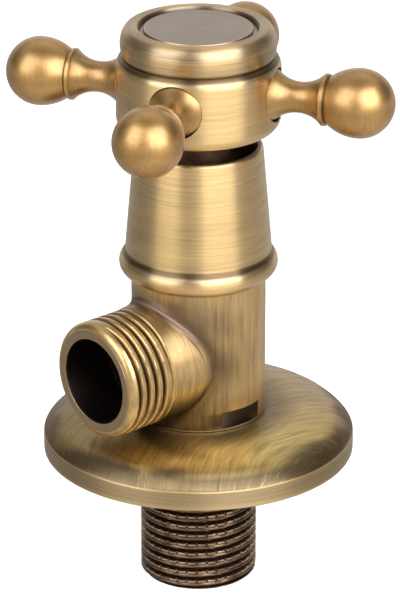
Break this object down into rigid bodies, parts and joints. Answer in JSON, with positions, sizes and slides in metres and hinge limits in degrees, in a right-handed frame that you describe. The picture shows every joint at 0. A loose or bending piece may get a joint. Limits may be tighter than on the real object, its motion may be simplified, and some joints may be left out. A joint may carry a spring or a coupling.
{
  "type": "angle valve",
  "caption": "Wall-mounted angle valve: threaded inlet shank, sliding wall flange, threaded side outlet and a cross handle that opens ceramic discs.",
  "frame": {"origin": "on the inlet and spindle axis, in the wall plane at the back rim of the wall flange", "axes": "+Z runs from the wall up the spindle to the handle, -Y points out of the outlet"},
  "size_m": [0.061, 0.061, 0.1028],
  "materials": {
    "brushed_brass": "antique brass, brushed round the turned parts",
    "satin_brass": "antique brass, satin",
    "index_brass": "antique brass, darkened, fine rings",
    "raw_brass": "machined, unplated",
    "rubber": "matt black",
    "fibre": "pressed fibre, matt",
    "ceramic": "ground alumina ceramic",
    "slip_ring": "moulded, white",
    "steel": "stainless steel"
  },
  "bodies": {
    "valve": {"valve_body": "brushed_brass", "bonnet_cover": "brushed_brass", "cartridge_housing": "raw_brass", "cartridge_gasket": "fibre", "seat_seal": "rubber", "fixed_disc": "ceramic", "thrust_washer": "slip_ring"},
    "handle": {"spindle": "raw_brass", "spindle_o_rings": "rubber", "moving_disc": "ceramic", "retaining_clip": "steel", "handle_hub": "brushed_brass", "handle_arm_1": "satin_brass", "handle_arm_2": "satin_brass", "handle_arm_3": "satin_brass", "handle_arm_4": "satin_brass", "cap_ring": "brushed_brass", "index_disc": "index_brass", "index_o_ring": "rubber", "screw_washer": "steel", "handle_screw": "steel"},
    "escutcheon": {"escutcheon": "brushed_brass", "escutcheon_grip_ring": "rubber"}
  },
  "joints": [
    {"name": "handle_turn", "type": "hinge", "parent": "valve", "child": "handle", "pos_m": [0, 0, 0.0676], "axis": [0, 0, 1], "range_deg": [0, 90]},
    {"name": "escutcheon_slide", "type": "slide", "parent": "valve", "child": "escutcheon", "axis": [0, 0, 1], "range_m": [-0.02, 0]}
  ]
}
